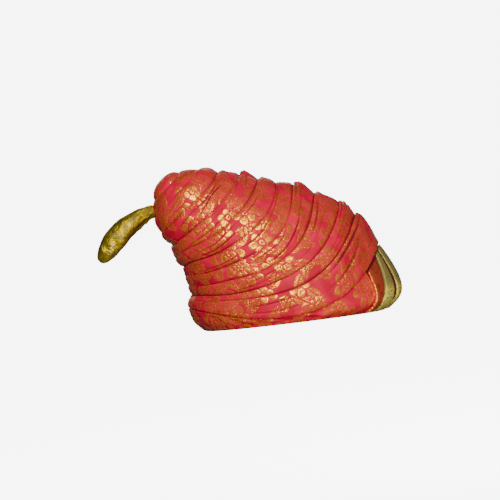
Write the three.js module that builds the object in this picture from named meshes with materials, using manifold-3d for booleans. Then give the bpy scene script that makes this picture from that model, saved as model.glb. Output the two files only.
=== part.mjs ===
// A ready-tied pagri: brocade wound in lapped turns round a leaning, hollow cone, with gold strips
// at the back of its rim and a padded gold horn at its tip.
// Millimetres, +Z up. The rim stands on Z = 0, the horn points along -X, the gold strips face +X,
// and X = 0 is the middle of the whole length, horn included.
import * as THREE from "three";
import { mergeVertices } from "three/addons/utils/BufferGeometryUtils.js";
import Module from "manifold-3d";

const wasm = await Module();
wasm.setup();

// Steps of the meshes
const ROUND_STEPS = 36; // points round a turn
const STRIP_ACROSS = 4; // steps across a narrow strip at the back
const HORN_SIDES = 14;
const HORN_STEPS = 14;

// Thickness of the wound cloth and the clearance between its pieces
const LINING_INSET = 6; // width of the flat foot that the rim stands on
const WALL = 2.4; // cloth below the crease surface
const STRIP_GAP = 0.4; // gold strip above the rim band
const STRIP_THICK = 1.5;
const STRIP_FLOOR_GAP = 1.2;
const SEAT_GAP = 0.35; // round the horn's root
const FULL_WIDTH = 17; // a turn this wide stands at its full height, and a narrower one less
const LEAST_FULLNESS = 0.3;

// The oval of a turn, and how its sag leans towards the back
const OVAL_POWER = 0.92;
const SAG_LEAN = 0.35;

// The creases between the turns, from the rim to the tip. Each is a closed oval through its front and
// back points, halfWidth out to each side, whose sides hang below the straight line by sag.
const FOLD_LINES = [
  { name: "foot", frontX: -54, frontZ: 0, backX: 144, backZ: 0, halfWidth: 88, sag: 0 },
  { name: "belly", frontX: -64, frontZ: 13, backX: 161.7, backZ: 21, halfWidth: 92, sag: 12 },
  { name: "hem", frontX: -69, frontZ: 29, backX: 144, backZ: 73, halfWidth: 94, sag: 43 },
  { name: "fold_1", frontX: -68, frontZ: 35, backX: 124, backZ: 108, halfWidth: 94, sag: 37 },
  { name: "fold_2", frontX: -66, frontZ: 41, backX: 108, backZ: 123, halfWidth: 92, sag: 38 },
  { name: "fold_3", frontX: -67, frontZ: 51, backX: 82, backZ: 136, halfWidth: 88, sag: 35 },
  { name: "fold_4", frontX: -68, frontZ: 62, backX: 60, backZ: 147, halfWidth: 83, sag: 30 },
  { name: "fold_5", frontX: -69, frontZ: 73, backX: 43, backZ: 151, halfWidth: 76, sag: 19 },
  { name: "fold_6", frontX: -75, frontZ: 84, backX: 24, backZ: 158, halfWidth: 68, sag: 11 },
  { name: "fold_7", frontX: -79, frontZ: 97, backX: 3, backZ: 165, halfWidth: 59, sag: 7 },
  { name: "fold_8", frontX: -88, frontZ: 112, backX: -18, backZ: 170, halfWidth: 49, sag: 2 },
  { name: "fold_9", frontX: -92, frontZ: 130, backX: -41, backZ: 176, halfWidth: 38, sag: 0 },
  { name: "fold_10", frontX: -92, frontZ: 148, backX: -61, backZ: 174, halfWidth: 24, sag: 0 },
];
const BELLY_LINE = 1;
const HEM_LINE = 2;
const TIP_LINE = FOLD_LINES.length - 1;
const TIP_RISE = 12;

// Section of a turn. down runs from its upper crease (0) to its lower crease (1) and on under the
// next turn; rise is millimetres above the crease surface, and crown is added on a full turn.
// Each lower turn laps over the edge of the one above it.
const TURN_SECTION = [
  { down: 0.02, rise: 0.5, crown: 0 },
  { down: 0.4, rise: -0.2, crown: 0 },
  { down: 0.75, rise: -WALL, crown: 0 },
  { down: 1.25, rise: -WALL, crown: 0 },
  { down: 1.25, rise: -0.8, crown: 0 },
  { down: 1.0, rise: 0, crown: 0 },
  { down: 0.85, rise: 0, crown: 0.9 },
  { down: 0.6, rise: 0, crown: 2.3 },
  { down: 0.32, rise: 0, crown: 3.4 },
  { down: 0.14, rise: 0, crown: 3.4 },
  { down: 0.03, rise: 0.2, crown: 2.5 },
  { down: -0.02, rise: 0.5, crown: 1.0 },
];
// The last turn wound, whose lower hem lies over the rim band as well.
const HEM_SECTION = [
  { down: 0.02, rise: 0.5, crown: 0 },
  { down: 0.5, rise: 0.3, crown: 0 },
  { down: 0.98, rise: 0.5, crown: 0 },
  { down: 1.02, rise: 0.8, crown: 0.6 },
  { down: 1.0, rise: 1.0, crown: 1.6 },
  { down: 0.9, rise: 0.9, crown: 2.4 },
  { down: 0.65, rise: 0.6, crown: 3.0 },
  { down: 0.32, rise: 0, crown: 3.6 },
  { down: 0.14, rise: 0, crown: 3.4 },
  { down: 0.03, rise: 0.2, crown: 2.5 },
  { down: -0.02, rise: 0.5, crown: 1.0 },
];
// Heights on the rim band, which rolls under at the foot and tucks under the hem: up counts fold lines.
const RIM_SECTION = [
  { up: 2.25, rise: -0.8 },
  { up: 2.25, rise: -WALL },
  { up: 1.5, rise: -WALL - 1 },
  { up: 1.0, rise: -WALL - 1.6 },
  { up: 0.5, rise: -WALL - 1.6 },
];
const RIM_OUTSIDE = [0.12, 0.5, 1.0, 1.35, 1.7, 2.0];
const TIP_MARGIN = 0.25; // how far the tip cap reaches under the turn below it, in fold lines
const TIP_WALL = 4;
const TIP_ARCS = [0, 20, 42, 64, 82]; // degrees up the tip's dome

// Strips on the outside of the rim band. Their edges are angles from the back, in degrees, on the near
// side: those at the foot hold up to the belly, and from there the strips draw in towards the hem.
const BACK_STRIPS = [
  { name: "gold_strip_near", foot: [-37.5, -23.5], hem: [-22, -17], cloth: "gold", top: 1.95 },
  { name: "gold_strip_back", foot: [-18.5, 18.5], hem: [-15, 15], cloth: "gold", top: 1.95 },
  { name: "gold_strip_far", foot: [23.5, 37.5], hem: [17, 22], cloth: "gold", top: 1.95 },
  { name: "pleat_near", foot: [-45, -39], hem: [-38, -23.5], cloth: "brocade", top: 1.9 },
  { name: "pleat_far", foot: [39, 45], hem: [23.5, 38], cloth: "brocade", top: 1.9 },
];
const STRIP_UPS = [0.12, 0.5, 1.0, 1.35, 1.7];

// The horn from its root to its end: half thicknesses in and across the XZ plane, and the pinched
// seam under it.
const HORN = [
  { x: -93.5, z: 138, deep: 6.6, wide: 6.6, seam: 0 },
  { x: -99, z: 138, deep: 6.9, wide: 7.0, seam: 1.5 },
  { x: -111, z: 135, deep: 8.2, wide: 8.4, seam: 4.5 },
  { x: -123, z: 129, deep: 10.0, wide: 9.6, seam: 1.5 },
  { x: -135, z: 120, deep: 11.6, wide: 10.6, seam: 0 },
  { x: -145, z: 109, deep: 11.8, wide: 10.8, seam: 0 },
  { x: -153, z: 98.5, deep: 10.2, wide: 9.8, seam: 0 },
  { x: -158, z: 91.5, deep: 6.8, wide: 7.0, seam: 0 },
];
const HORN_END = 2.5; // how far the round end stands past the last section

const CLOTHS = {
  brocade: new THREE.MeshStandardMaterial({ color: 0xb3202e, roughness: 0.55, metalness: 0.05 }),
  gold: new THREE.MeshStandardMaterial({ color: 0xa88a2c, roughness: 0.38, metalness: 0.6 }),
};

// A point of a crease: angle 0 is its back, and a quarter turn either way is its side.
function creasePoint(line, angle) {
  const front = new THREE.Vector3(line.frontX, 0, line.frontZ);
  const back = new THREE.Vector3(line.backX, 0, line.backZ);
  const along = back.clone().sub(front).multiplyScalar(0.5);
  const downward = new THREE.Vector3(along.z, 0, -along.x).normalize();
  const cos = Math.sign(Math.cos(angle)) * Math.abs(Math.cos(angle)) ** OVAL_POWER;
  const sin = Math.sign(Math.sin(angle)) * Math.abs(Math.sin(angle)) ** OVAL_POWER;
  const sag = line.sag * Math.sin(angle) ** 2 * (1 + SAG_LEAN * cos);
  const point = front.add(back).multiplyScalar(0.5);
  return point.addScaledVector(along, cos).addScaledVector(downward, sag).setY(line.halfWidth * sin);
}

// The smooth line up the wall at one angle, through every crease.
function meridian(angle) {
  const points = FOLD_LINES.map((line) => creasePoint(line, angle));
  return new THREE.CatmullRomCurve3(points, false, "centripetal");
}

// A point of the wall, up fold lines from the rim and rise millimetres out from the crease surface.
function wallPoint(angle, up, rise) {
  const turn = 0.01;
  const share = up / TIP_LINE;
  const here = meridian(angle);
  const around = meridian(angle + turn).getPoint(share).sub(meridian(angle - turn).getPoint(share));
  const outward = around.cross(here.getTangent(share)).normalize();
  return here.getPoint(share).addScaledVector(outward, rise);
}

// A point of the flat foot, inset millimetres towards the middle of the rim.
function footPoint(angle, inset) {
  const foot = FOLD_LINES[0];
  const point = creasePoint(foot, angle);
  const middle = new THREE.Vector3((foot.frontX + foot.backX) / 2, 0, 0);
  return point.addScaledVector(middle.sub(point).normalize(), inset);
}

function angles(from, to, steps) {
  return Array.from({ length: steps + 1 }, (_, i) => from + ((to - from) * i) / steps);
}

function roundAngles() {
  return angles(0, 2 * Math.PI, ROUND_STEPS).slice(0, -1);
}

// Joins loops of equally many points into a closed solid. A ring's last loop meets its first, and
// an open loft is closed at either end by rungs across its loop.
function loft(loops, ring) {
  const sides = loops[0].length;
  const faces = [];
  const spans = ring ? loops.length : loops.length - 1;
  for (let i = 0; i < spans; i += 1) {
    const low = i * sides;
    const high = ((i + 1) % loops.length) * sides;
    for (let j = 0; j < sides; j += 1) {
      const next = (j + 1) % sides;
      faces.push(low + j, high + next, low + next, low + j, high + j, high + next);
    }
  }
  if (!ring) {
    const end = (loops.length - 1) * sides;
    for (let j = 0; j < sides / 2 - 1; j += 1) {
      const [near, far] = [sides - 1 - j, sides - 2 - j];
      faces.push(j, j + 1, far, j, far, near);
      faces.push(end + j, end + far, end + j + 1, end + j, end + near, end + far);
    }
  }
  const geometry = new THREE.BufferGeometry().setFromPoints(loops.flat());
  geometry.setIndex(faces);
  return geometry;
}

// One wound turn: its section carried all the way round between two creases. grow thickens its
// outside, for cutting a seat into a neighbour.
function turnGeometry(upperLine, section, grow = 0) {
  const loops = roundAngles().map((angle) => {
    const upper = creasePoint(FOLD_LINES[upperLine], angle);
    const width = upper.distanceTo(creasePoint(FOLD_LINES[upperLine - 1], angle));
    const fullness = THREE.MathUtils.clamp(width / FULL_WIDTH, LEAST_FULLNESS, 1);
    return section.map(({ down, rise, crown }) =>
      wallPoint(angle, upperLine - down, rise + crown * fullness + (crown > 0 ? grow : 0)),
    );
  });
  return loft(loops, true);
}

// The band at the rim: out from under the hem, down the outside and round the flat foot.
function rimGeometry() {
  const loops = roundAngles().map((angle) => [
    ...RIM_SECTION.map(({ up, rise }) => wallPoint(angle, up, rise)),
    footPoint(angle, LINING_INSET),
    footPoint(angle, 0),
    ...RIM_OUTSIDE.map((up) => wallPoint(angle, up, 0)),
  ]);
  return loft(loops, true);
}

// The domed cap at the tip, hollow below, whose margin lies under the lip of the turn below it.
function tipGeometry() {
  const line = FOLD_LINES[TIP_LINE];
  const front = creasePoint(line, Math.PI);
  const back = creasePoint(line, 0);
  const middle = front.clone().add(back).multiplyScalar(0.5);
  const along = back.sub(front);
  const axis = new THREE.Vector3(-along.z, 0, along.x).normalize();
  const dome = (inset) =>
    TIP_ARCS.map((degrees) => {
      const arc = THREE.MathUtils.degToRad(degrees);
      return roundAngles().map((angle) => {
        const out = creasePoint(line, angle).sub(middle);
        out.setLength(out.length() - inset).multiplyScalar(Math.cos(arc)).add(middle);
        return out.addScaledVector(axis, (TIP_RISE - inset) * Math.sin(arc));
      });
    });
  const margin = (rise) => roundAngles().map((angle) => wallPoint(angle, TIP_LINE - TIP_MARGIN, rise));
  return loft([...dome(0).reverse(), margin(-0.8), margin(-WALL), ...dome(TIP_WALL)], false);
}

// A strip of cloth laid on the outside of the rim band.
function stripGeometry({ foot, hem, top }) {
  const { lerp, degToRad } = THREE.MathUtils;
  const across = (foot[1] - foot[0] > 20 ? 2 : 1) * STRIP_ACROSS;
  const layer = (share, rise) =>
    [...STRIP_UPS, top].map((up) => {
      const drawnIn = Math.max(0, up - BELLY_LINE);
      const [from, to] = foot.map((edge, i) => lerp(edge, hem[i], drawnIn));
      const point = wallPoint(degToRad(lerp(from, to, share)), up, rise);
      return point.setZ(Math.max(point.z, STRIP_FLOOR_GAP));
    });
  const loops = angles(0, 1, across).map((share) => [
    ...layer(share, STRIP_GAP).reverse(),
    ...layer(share, STRIP_GAP + STRIP_THICK),
  ]);
  return loft(loops, false);
}

// The padded horn: ovals carried along its curve, pinched along the seam below, with a round end.
function hornGeometry() {
  const column = (name) => (share) => {
    const at = share * (HORN.length - 1);
    const row = Math.min(Math.floor(at), HORN.length - 2);
    return THREE.MathUtils.lerp(HORN[row][name], HORN[row + 1][name], at - row);
  };
  const [deep, wide, seam] = ["deep", "wide", "seam"].map(column);
  const path = new THREE.CatmullRomCurve3(HORN.map(({ x, z }) => new THREE.Vector3(x, 0, z)));
  const oval = (share, past, size) => {
    const ahead = path.getTangent(share);
    const under = new THREE.Vector3(-ahead.z, 0, ahead.x);
    return angles(0, 2 * Math.PI, HORN_SIDES).slice(0, -1).map((turn, i) => {
      const reach = deep(share) * Math.cos(turn) + (i === 0 ? seam(share) : 0);
      const point = path.getPoint(share).addScaledVector(ahead, past);
      return point.addScaledVector(under, reach * size).setY(wide(share) * Math.sin(turn) * size);
    });
  };
  const loops = angles(0, 1, HORN_STEPS).map((share) => oval(share, 0, 1));
  return loft([...loops, oval(1, HORN_END, 0.62)], false);
}

function solidOf(geometry) {
  const merged = mergeVertices(new THREE.BufferGeometry().copy(geometry));
  const vertProperties = new Float32Array(merged.attributes.position.array);
  const triVerts = new Uint32Array(merged.index.array);
  return new wasm.Manifold(new wasm.Mesh({ numProp: 3, vertProperties, triVerts }));
}

// The first geometry less the others.
function cut(geometry, cutters) {
  const solid = cutters.reduce((rest, cutter) => rest.subtract(solidOf(cutter)), solidOf(geometry));
  const left = solid.getMesh();
  const made = new THREE.BufferGeometry();
  made.setAttribute("position", new THREE.BufferAttribute(left.vertProperties, 3));
  return made.setIndex(new THREE.BufferAttribute(left.triVerts, 1));
}

const pagri = new THREE.Group();

function add(name, geometry, cloth) {
  const mesh = new THREE.Mesh(geometry, CLOTHS[cloth]);
  mesh.name = name;
  pagri.add(mesh);
}

add("rim_band", rimGeometry(), "brocade");
for (let line = HEM_LINE + 1; line <= TIP_LINE; line += 1) {
  const number = String(line - HEM_LINE).padStart(2, "0");
  const section = line === HEM_LINE + 1 ? HEM_SECTION : TURN_SECTION;
  add(`turn_${number}`, turnGeometry(line, section), "brocade");
}
add("tip_cap", tipGeometry(), "brocade");
for (const strip of BACK_STRIPS) add(strip.name, stripGeometry(strip), strip.cloth);

const hornSeat = [TIP_LINE, TIP_LINE - 1].map((line) => turnGeometry(line, TURN_SECTION, SEAT_GAP));
add("horn", cut(hornGeometry(), hornSeat), "gold");

export default pagri;
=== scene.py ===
# %% [markdown]
# A ready-tied pagri: red silk brocade wound in lapped turns up a leaning, hollow cone, with gold strips
# at the back of the rim and a padded gold horn at the tip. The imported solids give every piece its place.
# They could be sculpted into cloth by hand, but here each one is replaced by a surface worked out with
# numpy and woven by shader nodes, so that every fold and thread has a number that can be changed.

import bmesh
import bpy
import numpy as np
from mathutils import Matrix, Vector


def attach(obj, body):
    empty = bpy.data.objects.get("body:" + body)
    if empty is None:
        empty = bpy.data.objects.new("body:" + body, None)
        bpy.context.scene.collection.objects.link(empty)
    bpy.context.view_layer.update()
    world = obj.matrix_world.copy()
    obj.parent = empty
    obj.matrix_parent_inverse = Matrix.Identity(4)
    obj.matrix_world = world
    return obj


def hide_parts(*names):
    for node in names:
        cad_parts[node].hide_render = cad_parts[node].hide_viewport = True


MM = 0.001
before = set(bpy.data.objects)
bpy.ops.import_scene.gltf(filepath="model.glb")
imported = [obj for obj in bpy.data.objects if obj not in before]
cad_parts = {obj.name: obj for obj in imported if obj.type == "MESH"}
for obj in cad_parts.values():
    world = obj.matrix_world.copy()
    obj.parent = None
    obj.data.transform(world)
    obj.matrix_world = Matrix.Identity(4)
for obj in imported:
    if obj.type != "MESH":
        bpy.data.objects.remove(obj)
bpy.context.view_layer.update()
chance = np.random.default_rng(7)
print("nodes to dress:", len(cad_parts))

# %% [markdown]
# The camera stands low at the near side, a long way off, so the turban is seen almost without
# perspective. An orthographic camera would do as well, but a long lens is what a photographer would use.
# It is rolled a little, which lifts the back of the rim in the picture.

# %% Camera
LOOK_AT = Vector((4.6, 0, 82.5)) * MM
CAMERA_DISTANCE = 4.0
CAMERA_RISE = np.radians(1.0)
CAMERA_ROLL = np.radians(-7.0)
VIEW_WIDTH = 550 * MM  # what the picture takes in at the turban


def add_object(name, data):
    """A new object in the scene."""
    thing = bpy.data.objects.new(name, data)
    bpy.context.collection.objects.link(thing)
    return thing


camera_data = bpy.data.cameras.new("camera")
camera_data.sensor_width = 36
camera_data.lens = 36 * CAMERA_DISTANCE / VIEW_WIDTH
camera = add_object("camera", camera_data)
towards_camera = Vector((0, -np.cos(CAMERA_RISE), np.sin(CAMERA_RISE)))
aim = towards_camera.to_track_quat("Z", "Y").to_matrix().to_4x4()
place = Matrix.Translation(LOOK_AT + towards_camera * CAMERA_DISTANCE)
camera.matrix_world = place @ aim @ Matrix.Rotation(CAMERA_ROLL, 4, "Z")
bpy.context.scene.camera = camera
print("lens:", round(camera_data.lens, 1), "mm")

# %% [markdown]
# Wiring shader nodes by hand is long-winded. These few helpers make a node in the tree that was opened
# last, feed it numbers or other nodes' outputs, and give back its output, so that a pattern reads like a
# formula.

# %% Node helpers
VECTOR_SOCKETS = ("Vector", "Place")  # a group's other sockets hold one number each
open_trees = []  # the helpers work in the last of these


def place(kind):
    """A new node of that kind."""
    return open_trees[-1].nodes.new(kind)


def feed(socket, value):
    """Links a socket to another node's output, or sets its number."""
    if isinstance(value, bpy.types.NodeSocket):
        open_trees[-1].links.new(value, socket)
    else:
        socket.default_value = value


def calc(operation, *values, clamp=False):
    """One Math node over the values."""
    node = place("ShaderNodeMath")
    node.operation = operation
    node.use_clamp = clamp
    for socket, value in zip(node.inputs, values):
        feed(socket, value)
    return node.outputs["Value"]


def times(*values):
    """The values multiplied together."""
    product = values[0]
    for value in values[1:]:
        product = calc("MULTIPLY", product, value)
    return product


def minus(first, second):
    """first less second."""
    return calc("SUBTRACT", first, second)


def shift(operation, *values):
    """One Vector Math node over the values."""
    node = place("ShaderNodeVectorMath")
    node.operation = operation
    for socket, value in zip([s for s in node.inputs if s.enabled], values):
        feed(socket, value)
    return next(s for s in node.outputs if s.enabled)


def split(vector):
    """A vector's X and Y."""
    node = place("ShaderNodeSeparateXYZ")
    feed(node.inputs["Vector"], vector)
    return node.outputs["X"], node.outputs["Y"]


def join(x, y):
    """A vector from its X and Y."""
    node = place("ShaderNodeCombineXYZ")
    feed(node.inputs["X"], x)
    feed(node.inputs["Y"], y)
    return node.outputs["Vector"]


def step(value, low, high):
    """0 where value is below low, 1 where it is above high, and smooth between."""
    node = place("ShaderNodeMapRange")
    node.interpolation_type = "SMOOTHSTEP"
    for name, number in (("Value", value), ("From Min", low), ("From Max", high)):
        feed(node.inputs[name], number)
    return node.outputs["Result"]


def blend(share, first, second):
    """first where share is 0, second where it is 1, as colours."""
    node = place("ShaderNodeMix")
    node.data_type = "RGBA"
    for name, value in (("Factor_Float", share), ("A_Color", first), ("B_Color", second)):
        feed(next(s for s in node.inputs if s.identifier == name), value)
    return next(s for s in node.outputs if s.identifier == "Result_Color")


def noise(vector, scale, detail=2.0, output="Fac"):
    """Soft noise about 0.5: one number, or three with the output Color."""
    node = place("ShaderNodeTexNoise")
    feed(node.inputs["Vector"], vector)
    feed(node.inputs["Scale"], scale)
    feed(node.inputs["Detail"], detail)
    return node.outputs[output]


def attribute(name):
    """A number that a piece holds at each of its points."""
    node = place("ShaderNodeAttribute")
    node.attribute_name = name
    return node.outputs["Fac"]


def facets(vector, scale):
    """Small facets: the smoothed distance to the nearest of many scattered points."""
    node = place("ShaderNodeTexVoronoi")
    node.feature = "SMOOTH_F1"
    feed(node.inputs["Vector"], vector)
    feed(node.inputs["Scale"], scale)
    return node.outputs["Distance"]


def glow_for_camera(glow, strength):
    """strength, with glow added for what the camera sees directly, so that a paper white lights nothing."""
    seen = place("ShaderNodeLightPath").outputs["Is Camera Ray"]
    return calc("MULTIPLY_ADD", seen, glow, strength)


def new_group(name, inputs, outputs):
    """Opens an empty node group with those sockets: its tree, what goes in and what comes out."""
    tree = bpy.data.node_groups.new(name, "ShaderNodeTree")
    open_trees.append(tree)
    for in_out, names in (("INPUT", inputs), ("OUTPUT", outputs)):
        for socket in names.split():
            kind = "NodeSocketVector" if socket in VECTOR_SOCKETS else "NodeSocketFloat"
            tree.interface.new_socket(socket, in_out=in_out, socket_type=kind)
    return tree, place("NodeGroupInput").outputs, place("NodeGroupOutput").inputs


def use_group(group, **values):
    """Places a group and feeds its inputs."""
    node = place("ShaderNodeGroup")
    node.node_tree = group
    for name, value in values.items():
        feed(node.inputs[name], value)
    return node.outputs


# %% [markdown]
# Gold thread only shines where it mirrors a lamp. An even sky would make all of it pale, so most of the
# light comes from one tall, tilted strip lamp above the camera, which shines along the turban's near side
# from the rim to the tip, and the sky is dim. A weak, low lamp at the side keeps the gold strips alive,
# and another one lights the far side. The paper behind is white to the camera alone.

# %% Light
SKY_STRENGTH = 0.06
PAPER_GLOW = 7.0


def area_lamp(name, spot, wide, high, power, tilt=0):
    """A lamp of that size at spot, turned to face the turban and tilted by degrees."""
    data = bpy.data.lights.new(name, "AREA")
    data.shape = "RECTANGLE"
    data.size, data.size_y = wide, high
    data.energy = power
    lamp = add_object(name, data)
    facing = (spot - LOOK_AT).to_track_quat("Z", "Y").to_matrix().to_4x4()
    lamp.matrix_world = Matrix.Translation(spot) @ facing @ Matrix.Rotation(np.radians(tilt), 4, "Z")


area_lamp("key", Vector((0.12, -2.0, 0.95)), wide=0.45, high=2.3, power=73, tilt=18)
area_lamp("side", Vector((1.5, -1.3, 0.15)), wide=0.5, high=0.24, power=1.2)
area_lamp("far", Vector((-0.3, 2.2, 0.8)), wide=1.5, high=1.0, power=8)

sky = bpy.data.worlds.new("studio")
sky.use_nodes = True
bpy.context.scene.world = sky
open_trees.append(sky.node_tree)
background = sky.node_tree.nodes["Background"].inputs
background["Color"].default_value = (1.0, 0.99, 0.97, 1.0)
feed(background["Strength"], glow_for_camera(PAPER_GLOW, SKY_STRENGTH))

# %% [markdown]
# A brocade is woven from one repeat. It could be painted as an image, but nodes stay sharp at any size.
# Every motif is drawn once, round its own middle, and set into the repeat in a half drop: each column of
# repeats starts half a repeat lower than the one before.

# %% Repeat
REPEAT_WIDE, REPEAT_HIGH = 92.0, 80.0  # millimetres

repeat_group, given, result = new_group("set in repeat", "Vector Place Turn Size", "Vector")
right, upward = split(shift("SUBTRACT", given["Vector"], given["Place"]))
column = calc("FLOOR", calc("ADD", calc("DIVIDE", right, REPEAT_WIDE), 0.5))
right = minus(right, times(column, REPEAT_WIDE))
drop = times(calc("FLOORED_MODULO", column, 2.0), REPEAT_HIGH / 2)
upward = calc("WRAP", minus(upward, drop), REPEAT_HIGH / 2, -REPEAT_HIGH / 2)
spot = join(calc("DIVIDE", right, given["Size"]), calc("DIVIDE", upward, given["Size"]))
turned = place("ShaderNodeVectorRotate")
turned.rotation_type = "Z_AXIS"
feed(turned.inputs["Vector"], spot)
feed(turned.inputs["Angle"], given["Turn"])
feed(result["Vector"], turned.outputs["Vector"])
print("repeat:", REPEAT_WIDE, "x", REPEAT_HIGH, "mm")

# %% [markdown]
# The blossoms have rounded petals with red gaps between them, a few veins in each, and an eye. In polar
# coordinates a petal is one slice of the angle, so one formula draws a flower of any number of petals.
# Gold is where the thread is; Puff is how far the petal stands up, flat but for its edge; Ground is the
# flower with a narrow margin, from which the motifs under it are cleared.

# %% Blossom
blossom_group, given, result = new_group("woven blossom", "Vector Petals Eye Heart", "Gold Puff Ground")
right, upward = split(given["Vector"])
radius = shift("LENGTH", given["Vector"])
angle = calc("ARCTAN2", upward, right)
slices = times(calc("DIVIDE", angle, 2 * np.pi), given["Petals"])
from_middle = minus(calc("FRACT", slices), 0.5)
slice_wide = calc("DIVIDE", times(radius, 2 * np.pi), given["Petals"])
bow = times(from_middle, from_middle, 1.35)
edge = minus(minus(1.0, bow), radius)
petal = step(edge, -0.03, 0.03)
to_gap = times(minus(0.5, calc("ABSOLUTE", from_middle)), slice_wide)
gap = step(to_gap, 0.018, 0.055)
to_vein = calc("PINGPONG", calc("ADD", from_middle, 1.0 / 6), 1.0 / 6)
vein_line = step(times(to_vein, slice_wide), 0.005, 0.03)
vein_reach = step(edge, 0.18, 0.30)
vein = calc("MAXIMUM", vein_line, minus(1.0, vein_reach))
petals = times(petal, gap, vein)
outside_eye = step(minus(radius, given["Eye"]), 0.0, 0.07)
eye_edge = minus(minus(given["Eye"], 0.07), radius)
heart = times(given["Heart"], step(radius, 0.06, 0.12))
eye_disc = times(step(eye_edge, 0.0, 0.05), heart)
feed(result["Gold"], calc("MAXIMUM", times(petals, outside_eye), eye_disc))
swell = times(step(edge, -0.04, 0.12), step(to_gap, 0.0, 0.12))
swell = times(swell, outside_eye, vein)
eye_swell = times(step(eye_edge, 0.0, 0.12), heart)
feed(result["Puff"], calc("MAXIMUM", swell, eye_swell))
feed(result["Ground"], step(edge, -0.13, -0.07))

# %% [markdown]
# A leaf is a bent lens along its own length, with a midrib and slanting side ribs left red, and an edge
# that is notched at each rib, like a fern's. A very thin leaf without ribs is a stem.

# %% Leaf
leaf_group, given, result = new_group("woven leaf", "Vector Slim Bend Ribs", "Gold Puff Ground")
along, aside = split(given["Vector"])
bowed = times(along, along, given["Bend"])
aside = calc("ABSOLUTE", minus(aside, bowed))
rib_place = calc("FRACT", times(minus(along, aside), 7.0))
notch = times(calc("ABSOLUTE", minus(rib_place, 0.6)), 0.6)
lens = times(along, minus(1.0, along), 4.0)
half_wide = times(calc("POWER", calc("MAXIMUM", lens, 0.0), 0.7), given["Slim"])
lobed = minus(1.0, times(notch, given["Ribs"]))
past_end = calc("MINIMUM", lens, 0.0)
to_side = minus(times(half_wide, lobed), aside)
to_edge = calc("ADD", to_side, past_end)
blade = step(to_edge, -0.01, 0.03)
rib = times(step(rib_place, 0.10, 0.30), step(rib_place, 1.0, 0.94))
ribbed = times(rib, step(aside, 0.014, 0.045))
inner = calc("MAXIMUM", ribbed, minus(1.0, given["Ribs"]))
feed(result["Gold"], times(blade, inner))
feed(result["Puff"], times(step(to_edge, 0.0, 0.05), inner))
feed(result["Ground"], step(to_edge, -0.06, -0.02))

# %% [markdown]
# The repeat is listed: a big double flower, six-petalled ones in pairs, round many-petalled
# ones, buds, and leaves and stems that fill the ground between them. Each motif is woven over those
# before it, with a narrow red margin, and their threads push it aside a little, as they do on a loom.

# %% Brocade flowers
BLOSSOMS = [
    # x, y, radius, turn in degrees, petals, eye, heart: 0 where a smaller flower fills the eye
    (24, 24, 19.0, 12, 8, 0.60, 0),
    (24, 24, 10.4, 40, 6, 0.52, 0),
    (24, 24, 4.8, 10, 5, 0.30, 1),
    (62, 16, 13.6, 5, 6, 0.30, 1),
    (81, 34, 12.4, 40, 6, 0.32, 1),
    (52, 53, 12.4, 0, 11, 0.52, 0),
    (52, 53, 5.8, 15, 6, 0.36, 1),
    (12, 61, 10.6, 20, 5, 0.32, 1),
    (76, 67, 10.2, 65, 9, 0.42, 1),
    (45, 34, 6.0, 0, 5, 0.36, 1),
]
LEAVES = [
    # base x, base y, length, turn in degrees, slim, bend, ribs
    (41, 43, 20, -60, 0.05, 0.35, 0),
    (58, 28, 24, 60, 0.045, -0.35, 0),
    (20, 52, 22, -70, 0.045, 0.4, 0),
    (70, 44, 22, 80, 0.045, 0.4, 0),
    (52, 66, 26, 25, 0.04, 0.3, 0),
    (36, 8, 23, -30, 0.28, 0.20, 1),
    (40, 27, 22, 35, 0.29, -0.20, 1),
    (8, 41, 23, 112, 0.28, 0.15, 1),
    (24, 43, 23, 75, 0.28, -0.15, 1),
    (50, 8, 20, -140, 0.27, 0.20, 1),
    (75, 18, 22, -12, 0.28, 0.22, 1),
    (66, 29, 22, 108, 0.29, -0.2, 1),
    (91, 40, 20, 20, 0.29, 0.2, 1),
    (64, 50, 22, -8, 0.27, 0.25, 1),
    (41, 60, 22, 150, 0.29, 0.2, 1),
    (59, 63, 22, 62, 0.28, -0.2, 1),
    (21, 67, 20, 30, 0.29, 0.2, 1),
    (68, 73, 19, 130, 0.30, 0.2, 1),
    (85, 61, 20, -50, 0.28, -0.2, 1),
    (34, 47, 18, 10, 0.28, 0.2, 1),
    (70, 8, 18, -60, 0.28, 0.2, 1),
]
THREAD_NUDGE = (0.3, 0.3, 0.0)  # millimetres

flower_group, given, result = new_group("brocade flowers", "Vector Start", "Gold Puff")
gold = puff = given["Start"]


def weave_motif(motif_group, x, y, size, turn, **form):
    """The gold and its height after one more motif, which first clears the ground it takes up."""
    nudged = shift("MULTIPLY_ADD", gold, THREAD_NUDGE, given["Vector"])
    spot = use_group(repeat_group, Vector=nudged, Place=(x, y, 0), Turn=np.radians(-turn), Size=size)
    drawn = use_group(motif_group, Vector=spot["Vector"], **form)
    left = minus(1.0, drawn["Ground"])
    kept_gold, kept_puff = times(gold, left), times(puff, left)
    return calc("MAXIMUM", kept_gold, drawn["Gold"]), calc("MAXIMUM", kept_puff, drawn["Puff"])


for x, y, size, turn, slim, bend, ribs in LEAVES:
    gold, puff = weave_motif(leaf_group, x, y, size, turn, Slim=slim, Bend=bend, Ribs=ribs)
for x, y, size, turn, petals, eye, heart in BLOSSOMS:
    gold, puff = weave_motif(blossom_group, x, y, size, turn, Petals=petals, Eye=eye, Heart=heart)
feed(result["Gold"], calc("MAXIMUM", gold, given["Start"]))
feed(result["Puff"], puff)
print("motifs in the repeat:", len(BLOSSOMS) + len(LEAVES))

# %% [markdown]
# Silk and gold thread are woven at right angles, finer than the eye sees from far off. The weave group
# gives the height of its threads, for a bump, and a slight unevenness from thread to thread.

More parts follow.
